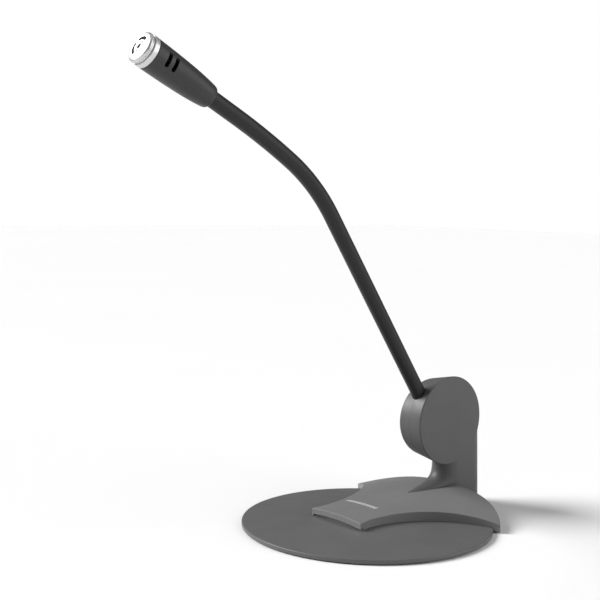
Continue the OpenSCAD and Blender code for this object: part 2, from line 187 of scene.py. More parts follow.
def colour_setting(title, note, default):
    return bpy.props.FloatVectorProperty(
        name=title, description=note, default=default, min=0, max=1, size=3, subtype="COLOR")


class StandColours(bpy.types.PropertyGroup):
    """Colours of the stand's finishes"""

    base: colour_setting("Base", "Moulded plastic of the base", (0.105, 0.105, 0.106))
    saddle: colour_setting("Saddle", "Moulded plastic of the saddle", (0.165, 0.165, 0.167))
    column: colour_setting("Column", "Moulded plastic of the column", (0.080, 0.080, 0.081))
    neck: colour_setting("Neck", "Soft sleeve of the neck", (0.022, 0.022, 0.0225))
    head: colour_setting("Head", "Moulded plastic of the head", (0.034, 0.034, 0.0346))
    cap: colour_setting("Cap", "Satin metal of the front cap", (0.66, 0.66, 0.67))
    mark: colour_setting("Mark", "Printed mark on the saddle", (0.62, 0.62, 0.63))
    floor: colour_setting("Floor", "Studio floor", (0.86, 0.86, 0.86))


def sizes():
    return bpy.context.scene.mic_stand_sizes


def colours():
    return bpy.context.scene.mic_stand_colours


# ---- selecting and shaping ----
def clear_selection():
    if bpy.context.object and bpy.context.object.mode != "OBJECT":
        bpy.ops.object.mode_set(mode="OBJECT")
    bpy.ops.object.select_all(action="DESELECT")


def name_new(name):
    piece = bpy.context.object
    piece.name = name
    piece.data.name = name
    return piece


def only(piece):
    clear_selection()
    piece.select_set(True)
    bpy.context.view_layer.objects.active = piece


def edit(piece):
    """Starts edit mode on a piece with nothing selected, and returns its mesh."""
    only(piece)
    bpy.ops.object.mode_set(mode="EDIT")
    bpy.ops.mesh.select_mode(type="VERT")
    bpy.ops.mesh.select_all(action="DESELECT")
    return bmesh.from_edit_mesh(piece.data)


def stop_edit():
    bpy.ops.object.mode_set(mode="OBJECT")


def pick_edges(piece, test):
    """Selects the edges that test(edge) is true for; the piece is in edit mode."""
    bpy.ops.mesh.select_mode(type="EDGE")
    mesh = bmesh.from_edit_mesh(piece.data)
    for edge in mesh.edges:
        edge.select_set(bool(test(edge)))
    bmesh.update_edit_mesh(piece.data)


def pick_faces(piece, test):
    """Selects the faces that test(face) is true for; the piece is in edit mode."""
    bpy.ops.mesh.select_mode(type="FACE")
    mesh = bmesh.from_edit_mesh(piece.data)
    for face in mesh.faces:
        face.select_set(bool(test(face)))
    bmesh.update_edit_mesh(piece.data)


def close_up(piece, gap=0.002 * MM):
    """Merges doubled corners and turns every face outwards."""
    edit(piece)
    bpy.ops.mesh.select_all(action="SELECT")
    bpy.ops.mesh.remove_doubles(threshold=gap)
    bpy.ops.mesh.normals_make_consistent(inside=False)
    stop_edit()


def apply_modifier(piece, kind, **settings):
    only(piece)
    modifier = piece.modifiers.new(kind.title(), kind)
    for key, value in settings.items():
        setattr(modifier, key, value)
    bpy.ops.object.modifier_apply(modifier=modifier.name)


def combine(piece, other, operation):
    """Joins, cuts or keeps piece by other, which is used up."""
    apply_modifier(piece, "BOOLEAN", operation=operation, object=other, solver="EXACT")
    bpy.data.objects.remove(other, do_unlink=True)


def settle(piece, matrix):
    """Moves a finished piece to its place, inside its mesh."""
    piece.matrix_world = matrix
    only(piece)
    bpy.ops.object.transform_apply(location=True, rotation=True, scale=True)


def smooth(piece, angle=32, weighted=True):
    only(piece)
    bpy.ops.object.shade_smooth_by_angle(angle=math.radians(angle), keep_sharp_edges=True)
    if weighted:
        apply_modifier(piece, "WEIGHTED_NORMAL", keep_sharp=True, weight=60)


def mapped_grid(name, across, along, place):
    """A grid whose corners (u, v), each from 0 to 1, are put where place(u, v) says."""
    clear_selection()
    bpy.ops.mesh.primitive_grid_add(x_subdivisions=across, y_subdivisions=along, size=1)
    piece = name_new(name)
    for corner in piece.data.vertices:
        corner.co = place(corner.co.x + 0.5, corner.co.y + 0.5)
    return piece


def turned(name, outline, steps=96, closed=False):
    """A solid of revolution about Z from an outline of (radius, height) points."""
    clear_selection()
    bpy.ops.mesh.primitive_plane_add(size=1)
    piece = name_new(name)
    edit(piece)
    bpy.ops.mesh.select_all(action="SELECT")
    bpy.ops.mesh.merge(type="CENTER")
    bpy.ops.transform.translate(value=(outline[0][0], 0, outline[0][1]))
    walk = list(outline[1:]) + ([outline[0]] if closed else [])
    here = outline[0]
    for point in walk:
        step = (point[0] - here[0], 0, point[1] - here[1])
        bpy.ops.mesh.extrude_region_move(TRANSFORM_OT_translate={"value": step})
        here = point
    bpy.ops.mesh.select_all(action="SELECT")
    bpy.ops.mesh.remove_doubles(threshold=0.001 * MM)
    bpy.ops.mesh.select_all(action="SELECT")
    bpy.ops.mesh.spin(steps=steps, angle=TURN, center=(0, 0, 0), axis=(0, 0, 1))
    stop_edit()
    close_up(piece, 0.001 * MM)
    return piece


def arc_points(middle, radius, start, end, count):
    """Points (r, z) on an arc from start to end degrees."""
    points = []
    for i in range(count + 1):
        angle = math.radians(start + (end - start) * i / count)
        points.append((middle[0] + radius * math.cos(angle), middle[1] + radius * math.sin(angle)))
    return points


def slot_cutter(name, length, width, place):
    """A round-ended slot cutter; place(along, across, depth) bends it, with depth 0 or 1."""

    def flat(u, v):
        along = -length / 2 * math.cos(math.pi * u)
        past = max(abs(along) - (length - width) / 2, 0)
        half = math.sqrt(max((width / 2) ** 2 - past ** 2, 0))
        return Vector((along, half * (2 * v - 1), 0))

    piece = mapped_grid(name, 36, 4, flat)
    close_up(piece, 0.001 * MM)
    edit(piece)
    bpy.ops.mesh.select_all(action="SELECT")
    bpy.ops.mesh.extrude_region_move(TRANSFORM_OT_translate={"value": (0, 0, 1)})
    stop_edit()
    for corner in piece.data.vertices:
        corner.co = place(corner.co.x, corner.co.y, round(corner.co.z))
    close_up(piece, 0.001 * MM)
    return piece


def rod(name, radius, start, direction, length, sides=64):
    """A plain cutter cylinder from a start point along a direction."""
    clear_selection()
    bpy.ops.mesh.primitive_cylinder_add(vertices=sides, radius=radius, depth=length)
    piece = name_new(name)
    aim = Vector(direction).normalized()
    turn = aim.to_track_quat("Z", "Y").to_matrix().to_4x4()
    settle(piece, Matrix.Translation(Vector(start) + aim * length / 2) @ turn)
    return piece


# ---- finishes ----
def finish_nodes(slot):
    """A new finish for a slot; the frame's own materials already hold the plain slot names."""
    material = bpy.data.materials.new("finish_" + slot)
    material.use_nodes = True
    return material, material.node_tree.nodes, material.node_tree.links


def noise(nodes, links, source, scale, detail=3, rough=0.55):
    texture = nodes.new("ShaderNodeTexNoise")
    texture.inputs["Scale"].default_value = scale
    texture.inputs["Detail"].default_value = detail
    texture.inputs["Roughness"].default_value = rough
    links.new(source, texture.inputs["Vector"])
    return texture.outputs["Fac"]


def spread(nodes, links, value, low, high, start=0.3, end=0.7):
    """Turns a 0 to 1 pattern into the range low to high."""
    step = nodes.new("ShaderNodeMapRange")
    step.inputs["From Min"].default_value = start
    step.inputs["From Max"].default_value = end
    step.inputs["To Min"].default_value = low
    step.inputs["To Max"].default_value = high
    links.new(value, step.inputs["Value"])
    return step.outputs["Result"]


def blend_colours(nodes, links, factor, first, second):
    mix = nodes.new("ShaderNodeMix")
    mix.data_type = "RGBA"
    links.new(factor, mix.inputs["Factor"])
    for socket, colour in ((mix.inputs["A"], first), (mix.inputs["B"], second)):
        if hasattr(colour, "is_linked"):
            links.new(colour, socket)
        else:
            socket.default_value = (*colour, 1)
    return mix.outputs["Result"]


def tint(colour, factor):
    return tuple(min(1, channel * factor) for channel in colour)


def bump(nodes, links, height, depth, strength=1.0, under=None):
    node = nodes.new("ShaderNodeBump")
    node.inputs["Distance"].default_value = depth
    node.inputs["Strength"].default_value = strength
    links.new(height, node.inputs["Height"])
    if under is not None:
        links.new(under, node.inputs["Normal"])
    return node.outputs["Normal"]


def moulded(name, colour, roughness, grain=0.008 * MM, grain_scale=2600, mottle=0.10, wear=0.25,
            gloss=0.5):
    """Moulded plastic: spark-eroded grain, faint cloudiness, and edges rubbed a little lighter."""
    material, nodes, links = finish_nodes(name)
    shader = nodes["Principled BSDF"]
    shader.inputs["Specular IOR Level"].default_value = gloss
    place = nodes.new("ShaderNodeTexCoord").outputs["Object"]
    cloud = spread(nodes, links, noise(nodes, links, place, 55, 4), 0, 1)
    body = blend_colours(nodes, links, cloud, tint(colour, 1 - mottle), tint(colour, 1 + mottle))
    speck = spread(nodes, links, noise(nodes, links, place, grain_scale, 2, 0.7), 0, 1, 0.35, 0.65)
    speckled = blend_colours(nodes, links, speck, body, tint(colour, 1.08))
    rubbed = nodes.new("ShaderNodeNewGeometry").outputs["Pointiness"]
    edge = spread(nodes, links, rubbed, 0, wear, 0.52, 0.62)
    worn = blend_colours(nodes, links, edge, speckled, tint(colour, 1.6))
    links.new(worn, shader.inputs["Base Color"])
    handled = noise(nodes, links, place, 130, 3)
    links.new(spread(nodes, links, handled, roughness - 0.05, roughness + 0.05),
              shader.inputs["Roughness"])
    fine = noise(nodes, links, place, grain_scale, 3, 0.6)
    links.new(bump(nodes, links, fine, grain), shader.inputs["Normal"])
    return material


def soft_sleeve(name, colour):
    """Soft sleeve: satin, with faint lengthways draw lines that follow the piece's own map."""
    material, nodes, links = finish_nodes(name)
    shader = nodes["Principled BSDF"]
    shader.inputs["Specular IOR Level"].default_value = 0.22
    own_map = nodes.new("ShaderNodeTexCoord").outputs["UV"]
    stretch = nodes.new("ShaderNodeMapping")
    stretch.inputs["Scale"].default_value = (60, 3, 1)
    links.new(own_map, stretch.inputs["Vector"])
    drawn = noise(nodes, links, stretch.outputs["Vector"], 1.0, 3)
    fine_map = nodes.new("ShaderNodeMapping")
    fine_map.inputs["Scale"].default_value = (22, 30, 1)
    links.new(own_map, fine_map.inputs["Vector"])
    dust = noise(nodes, links, fine_map.outputs["Vector"], 4.0, 4, 0.7)
    shade = blend_colours(nodes, links, spread(nodes, links, dust, 0, 1),
                          tint(colour, 0.9), tint(colour, 1.15))
    links.new(shade, shader.inputs["Base Color"])
    links.new(spread(nodes, links, dust, 0.36, 0.46), shader.inputs["Roughness"])
    lines = bump(nodes, links, drawn, 0.012 * MM)
    links.new(bump(nodes, links, dust, 0.01 * MM, 0.6, lines), shader.inputs["Normal"])
    return material


def satin_metal(name, colour, roughness, brush=(1, 1, 1), scale=900, depth=0.004 * MM, metallic=1.0):
    """Satin or brushed metal with fine tool marks, a little handling haze and dull patches."""
    material, nodes, links = finish_nodes(name)
    shader = nodes["Principled BSDF"]
    shader.inputs["Metallic"].default_value = metallic
    place = nodes.new("ShaderNodeTexCoord").outputs["Object"]
    stretch = nodes.new("ShaderNodeMapping")
    stretch.inputs["Scale"].default_value = brush
    links.new(place, stretch.inputs["Vector"])
    marks = noise(nodes, links, stretch.outputs["Vector"], scale, 3, 0.65)
    haze = noise(nodes, links, place, 220, 3)
    shade = blend_colours(nodes, links, spread(nodes, links, haze, 0, 1),
                          tint(colour, 0.93), tint(colour, 1.03))
    links.new(shade, shader.inputs["Base Color"])
    links.new(spread(nodes, links, haze, roughness - 0.04, roughness + 0.06),
              shader.inputs["Roughness"])
    links.new(bump(nodes, links, marks, depth), shader.inputs["Normal"])
    return material


def foam(name, colour, scale=1400):
    """Open-cell foam: small dark cells with a lighter web between them."""
    material, nodes, links = finish_nodes(name)
    shader = nodes["Principled BSDF"]
    place = nodes.new("ShaderNodeTexCoord").outputs["Object"]
    cells = nodes.new("ShaderNodeTexVoronoi")
    cells.inputs["Scale"].default_value = scale
    links.new(place, cells.inputs["Vector"])
    web = spread(nodes, links, cells.outputs["Distance"], 1, 0, 0.1, 0.6)
    links.new(blend_colours(nodes, links, web, tint(colour, 1.5), tint(colour, 0.6)),
              shader.inputs["Base Color"])
    links.new(spread(nodes, links, noise(nodes, links, place, 90), 0.86, 0.97),
              shader.inputs["Roughness"])
    links.new(bump(nodes, links, web, 0.15 * MM), shader.inputs["Normal"])
    return material


def printed(name, colour):
    """Screen print: slightly uneven ink over the grain."""
    material, nodes, links = finish_nodes(name)
    shader = nodes["Principled BSDF"]
    place = nodes.new("ShaderNodeTexCoord").outputs["Object"]
    ink = spread(nodes, links, noise(nodes, links, place, 1500, 3), 0, 1)
    links.new(blend_colours(nodes, links, ink, tint(colour, 0.85), colour),
              shader.inputs["Base Color"])
    links.new(spread(nodes, links, noise(nodes, links, place, 900), 0.42, 0.55),
              shader.inputs["Roughness"])
    links.new(bump(nodes, links, ink, 0.01 * MM), shader.inputs["Normal"])
    return material


def make_finishes():
    """Every finish of the stand, by the name of the record's slot."""
    shades = colours()
    rubber = (0.03, 0.03, 0.032)
    moulded("base_plastic", shades.base, 0.44, gloss=0.42)
    moulded("saddle_plastic", shades.saddle, 0.42, gloss=0.42)
    moulded("column_plastic", shades.column, 0.46, gloss=0.42)
    moulded("cover_plastic", (0.03, 0.03, 0.032), 0.6)
    moulded("head_plastic", shades.head, 0.40, wear=0.15, gloss=0.32)
    soft_sleeve("sleeve_pvc", shades.neck)
    moulded("lead_pvc", rubber, 0.5, 0.01 * MM, 1800, 0.15, 0)
    moulded("grommet_rubber", rubber, 0.7, 0.02 * MM, 2200, 0.2, 0.1)
    foam("pad_foam", (0.035, 0.035, 0.036))
    # near black: the real dust foam, also used as painted shade in the cap's hollow
    foam("dust_foam", (0.012, 0.012, 0.012), 2600)
    satin_metal("ballast_steel", (0.45, 0.45, 0.46), 0.5, (1, 6, 1), 500)
    satin_metal("screw_steel", (0.55, 0.55, 0.57), 0.34, scale=1600)
    satin_metal("clamp_metal", (0.6, 0.6, 0.6), 0.36, scale=1200)
    satin_metal("core_steel", (0.5, 0.5, 0.52), 0.3, (1, 1, 8), 700)
    satin_metal("cap_silver", shades.cap, 0.34, scale=1500, depth=0.003 * MM,
                metallic=0.8)
    satin_metal("capsule_metal", (0.62, 0.62, 0.64), 0.32, scale=1400)
    satin_metal("pin_brass", (0.7, 0.5, 0.22), 0.35, scale=2400)
    printed("mark_ink", shades.mark)


def finish(slot):
    return bpy.data.materials["finish_" + slot]


def dress(piece, slot, body="root", nodes=()):
    """Gives a piece its finish and the body it rides on, and hides the frame's nodes it stands for."""
    piece.data.materials.clear()
    piece.data.materials.append(finish(slot))
    if body:
        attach(piece, body)
    if nodes:
        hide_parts(*nodes)


# ---- shapes shared by the pieces ----
def dome_top(radius):
    """Height of the base's domed top at a distance from the middle."""
    return CREST_Z - DOME_R + math.sqrt(DOME_R ** 2 - radius ** 2)


def lower_of(first, second, softness):
    """The smaller of two heights, eased where they cross."""
    reach = max(softness - abs(first - second), 0) / softness
    return min(first, second) - reach * reach * softness / 4


def saddle_top(x, y):
    """Height of the saddle's crowned top, with its rolled rear shoulder."""
    crown = TONGUE_Z + (y - TONGUE_Y) * CROWN_RISE - CROWN_R + math.sqrt(CROWN_R ** 2 - x * x)
    out = math.hypot(x, y) - (SKIRT_R - SHOULDER_R)
    if out <= 0 or y < 0:
        return crown
    roll = SHOULDER_Z + math.sqrt(max(SHOULDER_R ** 2 - out * out, 0))
    return lower_of(crown, roll, 0.8 * MM)


def saddle_half_width(y):
    if y <= SIDE_ARC_Y:
        share = (y - TONGUE_Y) / (SIDE_ARC_Y - TONGUE_Y)
        return TONGUE_HALF + (SIDE_ARC_X - SIDE_ARC_R - TONGUE_HALF) * share
    return SIDE_ARC_X - math.sqrt(SIDE_ARC_R ** 2 - (y - SIDE_ARC_Y) ** 2)


def wing_y():
    """Where the saddle's hollow side meets its round skirt."""
    low, high = 0, 55 * MM
    for _ in range(40):
        y = (low + high) / 2
        low, high = (y, high) if math.hypot(saddle_half_width(y), y) < SKIRT_R else (low, y)
    return low


WING_Y = wing_y()
WING_X = saddle_half_width(WING_Y)
WING_TURN = math.atan2(WING_X, WING_Y)


def saddle_plan(u, v):
    """A point of the saddle's plan: u runs left to right, v runs front to rear."""
    side = 2 * u - 1
    y_side = TONGUE_Y + (WING_Y - TONGUE_Y) * v
    turn = side * WING_TURN
    x = side * saddle_half_width(y_side) + v * (SKIRT_R * math.sin(turn) - WING_X * side)
    y = y_side + v * (SKIRT_R * math.cos(turn) - WING_Y)
    return x, y


def neck_frame(s):
    """(y, z, slope) of the neck's middle line at a distance along it."""
    y, z, slope = *NECK_START, NECK_SLOPE
    run = min(s, NECK_STRAIGHT)
    y, z = y - run * math.cos(slope), z + run * math.sin(slope)
    rest = s - NECK_STRAIGHT
    for turn in ARC_TURNS:
        if rest <= 0:
            return y, z, slope
        radius = ARC_LEN / turn
        run = min(rest, ARC_LEN)
        after = slope - run / radius
        y -= radius * (math.sin(slope) - math.sin(after))
        z += radius * (math.cos(after) - math.cos(slope))
        slope = after
        rest -= ARC_LEN
    if rest > 0:
        y, z = y - rest * math.cos(slope), z + rest * math.sin(slope)
    return y, z, slope


def neck_matrix(s):
    """Places what is modelled upright at a distance along the neck."""
    y, z, slope = neck_frame(s)
    return Matrix.Translation((0, y, z)) @ Matrix.Rotation(math.pi / 2 - slope, 4, "X")


def neck_point(s):
    y, z, _ = neck_frame(s)
    return Vector((0, y, z))


# ---- the pieces ----
class MICSTAND_OT_base(bpy.types.Operator):
    """Round weighted base: a shallow dome with a rounded rim"""

    bl_idname = "micstand.base"
    bl_label = "Base"

    def execute(self, context):
        edge = sizes().base_edge
        flat = RIM_Z - edge
        dome = [(r, dome_top(r)) for r in [BASE_R * i / 16 for i in range(16)]]
        dome.append((BASE_R - edge, dome_top(BASE_R - edge)))
        rim = arc_points((BASE_R - edge, flat), edge, 75, 0, 5)
        foot = arc_points((BASE_R - FOOT_EDGE, FOOT_H + FOOT_EDGE), FOOT_EDGE, 0, -90, 4)
        inside_r = BASE_R - RIM_WALL
        under = [(r, dome_top(r) - BASE_WALL) for r in [inside_r * (16 - i) / 16 for i in range(17)]]
        outline = dome + rim + foot + [(inside_r, FOOT_H)] + under
        shell = turned("base_dome", outline, 160)
        smooth(shell, 40)
        dress(shell, "base_plastic", nodes=["base_shell"])
        return {"FINISHED"}


class MICSTAND_OT_saddle(bpy.types.Operator):
    """Saddle cover: crowned top, hollow sides, undercut front lip and rolled rear"""

    bl_idname = "micstand.saddle"
    bl_label = "Saddle"

    def execute(self, context):
        cover = mapped_grid("saddle_shell", 72, 96, self.top)
        edit(cover)
        bpy.ops.mesh.select_all(action="SELECT")
        bpy.ops.mesh.region_to_loop()
        self.drop(cover, lambda x, y, z: (x, y, max(z - LIP_T, self.foot(x, y) + 0.3 * MM)))
        self.drop(cover, self.under_lip)
        self.drop(cover, lambda x, y, z: (x, y, self.foot(x, y)))
        bpy.ops.mesh.select_all(action="SELECT")
        bpy.ops.mesh.remove_doubles(threshold=0.01 * MM)
        bpy.ops.mesh.normals_make_consistent(inside=False)
        self.ease(cover)
        stop_edit()
        apply_modifier(cover, "SOLIDIFY", thickness=SADDLE_WALL, offset=-1)
        smooth(cover, 40)
        dress(cover, "saddle_plastic", nodes=["saddle_cover"])
        return {"FINISHED"}

    @staticmethod
    def top(u, v):
        v = v if v < 0.6 else 0.6 + 0.4 * (1 - (1 - (v - 0.6) / 0.4) ** 1.8)
        x, y = saddle_plan(u, v)
        return Vector((x, y, saddle_top(x, y)))

    @staticmethod
    def foot(x, y):
        """Bottom of the side wall: on the base's dome, or near the desk beyond its rim."""
        out = math.hypot(x, y)
        return FOOT_H if out > BASE_R + 0.2 * MM else dome_top(out) + SADDLE_GAP

    @staticmethod
    def under_lip(x, y, z):
        """Steps the front wall back under the lip."""
        return x, y + (LIP_DEPTH if y < TONGUE_Y + 0.01 * MM else 0), z

    @staticmethod
    def drop(cover, place):
        """Extrudes the selected border and puts its new corners where place says."""
        bpy.ops.mesh.extrude_region_move(TRANSFORM_OT_translate={"value": (0, 0, 0)})
        mesh = bmesh.from_edit_mesh(cover.data)
        for corner in mesh.verts:
            if corner.select:
                corner.co = place(*corner.co)
        bmesh.update_edit_mesh(cover.data)

    @staticmethod
    def ease(cover):
        """Rounds the upper edges of the sides and of the front lip."""

        def sharp(edge):
            if len(edge.link_faces) != 2 or edge.calc_face_angle(0) < math.radians(38):
                return False
            return all(abs(corner.co.z - saddle_top(corner.co.x, corner.co.y)) < 0.02 * MM
                       for corner in edge.verts)

        pick_edges(cover, sharp)
        bpy.ops.mesh.bevel(offset=sizes().saddle_edge, segments=3, affect="EDGES",
                           clamp_overlap=True, miter_outer="ARC")


class MICSTAND_OT_mark(bpy.types.Operator):
    """Printed mark on the tongue: a row of short slanting bars"""

    bl_idname = "micstand.mark"
    bl_label = "Mark"

    def execute(self, context):
        bars = []
        for i in range(MARK_COUNT):
            start = MARK_START + MARK_PITCH * i
            bars.append(mapped_grid(f"mark_bar_{i}", 6, 8,
                                    lambda u, v: self.on_top(start + MARK_BAR * u, v)))
        only(bars[0])
        for bar in bars[1:]:
            bar.select_set(True)
        bpy.ops.object.join()
        mark = name_new("tongue_mark")
        apply_modifier(mark, "SOLIDIFY", thickness=sizes().mark_raise, offset=1)
        smooth(mark, 30, weighted=False)
        dress(mark, "saddle_plastic")
        mark.data.materials[0] = finish("mark_ink")
        return {"FINISHED"}

    @staticmethod
    def on_top(x, v):
        y = MARK_Y + MARK_H * v
        x += MARK_LEAN * v
        return Vector((x, y, saddle_top(x, y) + 0.01 * MM))


class MICSTAND_OT_column(bpy.types.Operator):
    """Column in two halves: tapered drum, round-fronted stem and pointed toe"""

    bl_idname = "micstand.column"
    bl_label = "Column"

    def execute(self, context):
        column = self.drum()
        combine(column, self.stem(), "UNION")
        y, z, slope = neck_frame(NECK_ROOT - 0.5 * MM)
        aim = (0, -math.cos(slope), math.sin(slope))
        combine(column, rod("neck_hole", NECK_R + 0.08 * MM, (0, y, z), aim, 40 * MM), "DIFFERENCE")
        start = (0, REAR_Y - 6 * MM, GROMMET_Z)
        combine(column, rod("exit_hole", EXIT_R, start, (0, 1, 0), 12 * MM), "DIFFERENCE")
        left = self.half(column, "column_left_half", -1)
        right = self.half(column, "column_right_half", 1)
        bpy.data.objects.remove(column, do_unlink=True)
        for place in SCREW_PLACES:
            well = rod("screw_well", WELL_R, (-HALF_T - 1 * MM, *place), (1, 0, 0),
                       WELL_DEPTH + 1 * MM, 40)
            combine(left, well, "DIFFERENCE")
        for piece, node in ((left, "column_left"), (right, "column_right")):
            smooth(piece, 34)
            dress(piece, "column_plastic", nodes=[node])
        return {"FINISHED"}

    @staticmethod
    def drum():
        clear_selection()
        bpy.ops.mesh.primitive_cylinder_add(
            vertices=180, radius=DRUM_R, depth=2 * HALF_T,
            location=(0, DRUM_Y, DRUM_Z), rotation=(0, math.pi / 2, 0))
        drum = name_new("column_block")
        bpy.ops.object.transform_apply(location=True, rotation=True, scale=True)
        edit(drum)
        pick_faces(drum, lambda face: face.normal.x < -0.9)
        bpy.ops.transform.resize(value=(1, 1, sizes().drum_taper),
                                 center_override=(-HALF_T, DRUM_Y, DRUM_Z))
        for side, offset, segments in ((1, sizes().drum_near_edge, 4), (-1, sizes().drum_far_edge, 5)):
            pick_edges(drum, lambda edge: all(
                corner.co.x * side > HALF_T - 0.01 * MM for corner in edge.verts))
            bpy.ops.mesh.bevel(offset=offset, segments=segments, affect="EDGES")
        stop_edit()
        return drum

    def stem(self):
        stem = mapped_grid("stem_block", 132, 44, self.stem_point)
        close_up(stem)
        edit(stem)
        pick_edges(stem, lambda edge: len(edge.link_faces) < 2)
        bpy.ops.mesh.fill()
        bpy.ops.mesh.select_all(action="SELECT")
        bpy.ops.mesh.normals_make_consistent(inside=False)
        stop_edit()
        return stem

    @staticmethod
    def front_y(height):
        """How far forward the column's front reaches at a height: a toe that sweeps up."""
        return WAIST_Y - (WAIST_Y - TOE_Y) * math.exp(-max(height - STEM_LOW, 0) / SWEEP)

    def stem_point(self, u, v):
        rise = v ** 1.7
        height = STEM_LOW + (DRUM_Z - STEM_LOW) * rise
        half = HALF_T - 0.02 * MM
        rear = REAR_Y - (REAR_Y - (DRUM_Y + DRUM_R)) * rise
        corner_x, corner_y = 2.2 * MM, 4.5 * MM
        nose_back = WAIST_Y + 8.5 * MM
        nose = nose_back - self.front_y(height)
        side = -1 if u < 0.5 else 1
        t = abs(2 * u - 1)
        # from the toe's tip (0) round the nose, along the side, round the rear corner (1)
        if t < 0.5:
            angle = t / 0.5 * math.pi / 2
            power = 2 - 0.75 * (nose - 8.5 * MM) / (WAIST_Y - TOE_Y)
            x = half * math.sin(angle) ** (2 / power)
            y = nose_back - nose * math.cos(angle) ** (2 / power)
        elif t < 0.8:
            x = half
            y = nose_back + (rear - corner_y - nose_back) * (t - 0.5) / 0.3
        elif t < 0.94:
            angle = (t - 0.8) / 0.14 * math.pi / 2
            x = half - corner_x * (1 - math.cos(angle))
            y = rear - corner_y + corner_y * math.sin(angle)
        else:
            x = (half - corner_x) * (1 - (t - 0.94) / 0.06)
            y = rear
        foot = self.foot(side * x, y)
        return Vector((side * x, y, foot + (DRUM_Z - foot) * rise))

    @staticmethod
    def foot(x, y):
        """Bottom of the column: on the saddle, then down behind its skirt."""
        if math.hypot(x, y) > SKIRT_R + 0.15 * MM:
            return REAR_LOW
        return saddle_top(x, y) + 0.04 * MM

    @staticmethod
    def half(column, name, side):
        only(column)
        bpy.ops.object.duplicate()
        piece = name_new(name)
        edit(piece)
        bpy.ops.mesh.select_all(action="SELECT")
        bpy.ops.mesh.bisect(plane_co=(side * HALVES_GAP, 0, 0), plane_no=(side, 0, 0),
                            use_fill=True, clear_inner=True, threshold=0.0005 * MM)
        stop_edit()
        return piece


class MICSTAND_OT_screws(bpy.types.Operator):
    """Column screws with a cross recess, sunk in the left half"""

    bl_idname = "micstand.screws"
    bl_label = "Screws"

    def execute(self, context):
        head_h, head_r = 1.4 * MM, 2.1 * MM
        dome = [(0, 0), (head_r * 0.6, 0.04 * MM), (head_r * 0.9, 0.25 * MM), (head_r, 0.5 * MM)]
        outline = dome + [(head_r, head_h), (1.1 * MM, head_h), (1.1 * MM, 9 * MM), (0, 9.8 * MM)]
        first = turned("column_screw_0", outline, 40)
        for turn in (0, math.pi / 2):
            clear_selection()
            bpy.ops.mesh.primitive_cube_add(size=1)
            blade = name_new("recess_blade")
            edit(blade)
            pick_faces(blade, lambda face: face.normal.z > 0.9)
            bpy.ops.transform.resize(value=(0.55, 0.6, 1), center_override=(0, 0, 0.5))
            stop_edit()
            place = Matrix.Rotation(turn, 4, "Z") @ Matrix.Diagonal((2.3 * MM, 0.5 * MM, 2 * MM, 1))
            settle(blade, place)
            combine(first, blade, "DIFFERENCE")
        smooth(first, 35)
        screws = [first]
        for i in (1, 2):
            only(first)
            bpy.ops.object.duplicate()
            screws.append(name_new(f"column_screw_{i}"))
        for i, (screw, place) in enumerate(zip(screws, SCREW_PLACES)):
            spot = Matrix.Translation((-HALF_T + SCREW_SINK, *place))
            spin = Matrix.Rotation(0.5 + 0.7 * i, 4, "Z")
            settle(screw, spot @ Matrix.Rotation(math.pi / 2, 4, "Y") @ spin)
            dress(screw, "screw_steel", nodes=["column_screws"] if i == 0 else ())
        return {"FINISHED"}


class MICSTAND_OT_grommet(bpy.types.Operator):
    """Rubber grommet in the cable hole at the column's rear"""

    bl_idname = "micstand.grommet"
    bl_label = "Grommet"

    def execute(self, context):
        bore, neck, flange = 1.9 * MM, 2.4 * MM, 3.4 * MM
        lip = arc_points((flange - 0.35 * MM, 0.55 * MM), 0.35 * MM, 0, 90, 4)
        mouth = arc_points((bore + 0.3 * MM, 0.6 * MM), 0.3 * MM, 90, 180, 4)
        outline = [(neck, -2.6 * MM), (neck, 0.1 * MM), (flange, 0.1 * MM), *lip, *mouth,
                   (bore, -2.6 * MM)]
        grommet = turned("exit_grommet", outline, 64, closed=True)
        facing_rear = Matrix.Rotation(-math.pi / 2, 4, "X")
        settle(grommet, Matrix.Translation((0, REAR_Y, GROMMET_Z)) @ facing_rear)
        smooth(grommet, 40)
        dress(grommet, "grommet_rubber", nodes=["cable_grommet"])
        return {"FINISHED"}


class MICSTAND_OT_neck(bpy.types.Operator):
    """Neck sleeve: one soft tube in lengths, one length round each joint"""

    bl_idname = "micstand.neck"
    bl_label = "Neck"

    def execute(self, context):
        cuts = [NECK_ROOT]
        cuts += [(a + b) / 2 for a, b in zip(JOINTS_AT, JOINTS_AT[1:])]
        cuts.append(HEAD_AT + 8 * MM)
        give = sizes().neck_give
        for i, joint in enumerate(JOINTS_AT):
            start, end = cuts[i], cuts[i + 1]
            rows = max(12, round((end - start) / (0.9 * MM)))
            tube = mapped_grid(f"neck_sleeve_{i}", 40, rows,
                               lambda u, v: self.skin(u, start + (end - start) * v))
            close_up(tube)
            apply_modifier(tube, "SOLIDIFY", thickness=NECK_R - CORE_R - 0.1 * MM, offset=-1)
            smooth(tube, 50, weighted=False)
            dress(tube, "sleeve_pvc", None, self.stands_for(i))
            reach = min(give, joint - start, end - joint)
            neck_point(joint - reach)
            neck_point(joint + reach)
            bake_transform(tube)
        return {"FINISHED"}

    @staticmethod
    def stands_for(i):
        return ["sleeve_0", "sleeve_1"] if i == 0 else [f"sleeve_{i + 1}"]

    @staticmethod
    def skin(u, s):
        angle = TURN * u
        ring = Vector((NECK_R * math.cos(angle), NECK_R * math.sin(angle), 0))
        return neck_matrix(s) @ ring


